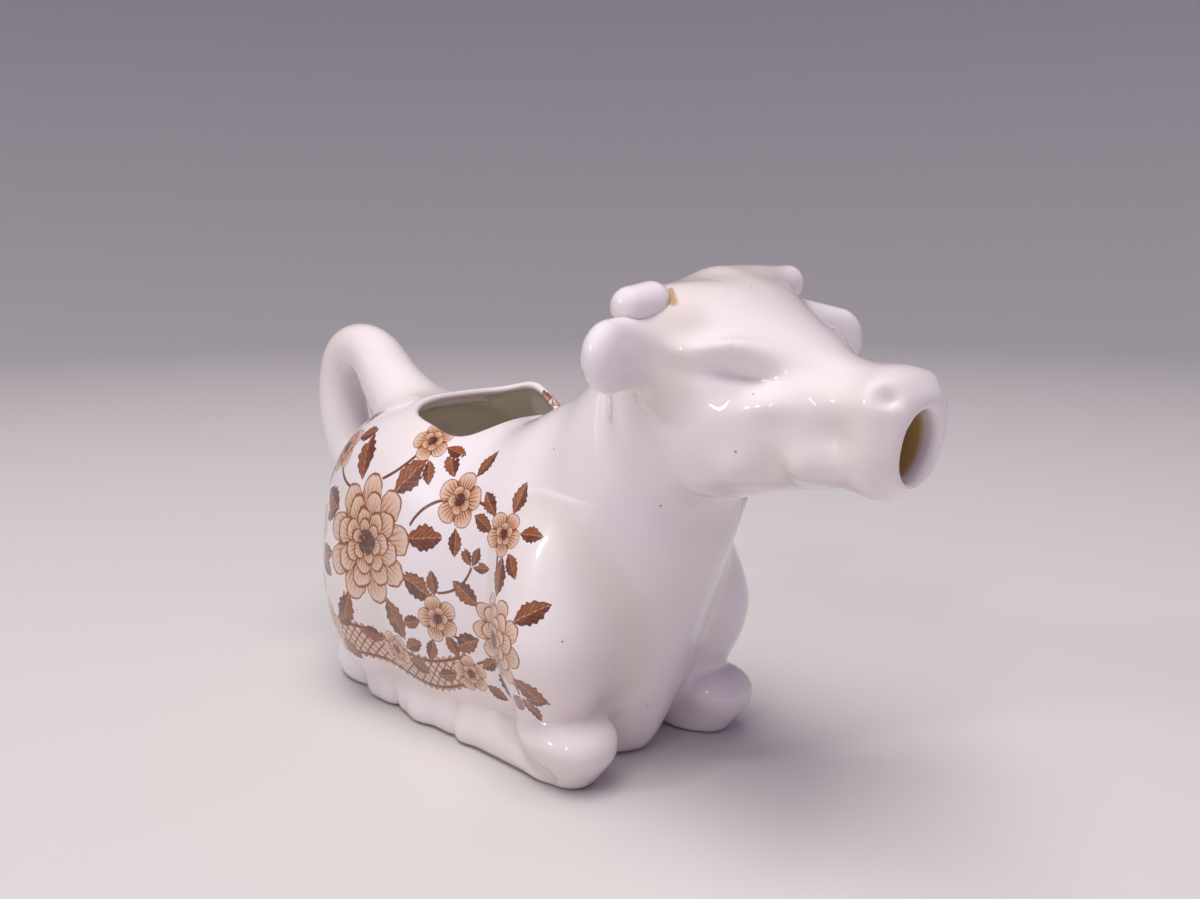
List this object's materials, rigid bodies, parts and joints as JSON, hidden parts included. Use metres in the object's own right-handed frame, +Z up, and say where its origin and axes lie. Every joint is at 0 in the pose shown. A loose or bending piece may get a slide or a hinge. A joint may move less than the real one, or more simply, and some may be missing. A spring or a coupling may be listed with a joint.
{
  "type": "milk jug",
  "caption": "Milk jug shaped as a resting cow in glazed earthenware, filled through an opening in its back and poured through its mouth, with the tail looped into a handle.",
  "frame": {"origin": "on the table, in the mid-plane, under the barrel just ahead of the middle of the foot", "axes": "+X to the muzzle, +Y to the cow's left, +Z up"},
  "size_m": [0.1785, 0.0756, 0.1008],
  "materials": {
    "white_glaze": "white earthenware under a clear gloss glaze",
    "printed_glaze": "white earthenware with a brown floral print under a clear gloss glaze"
  },
  "bodies": {
    "root": {"trunk": "printed_glaze", "head": "white_glaze", "tail_handle": "white_glaze", "left_ear": "white_glaze", "right_ear": "white_glaze", "left_horn": "white_glaze", "right_horn": "white_glaze", "left_foreleg": "printed_glaze", "right_foreleg": "printed_glaze", "left_hind_leg": "printed_glaze", "right_hind_leg": "printed_glaze"}
  },
  "joints": []
}
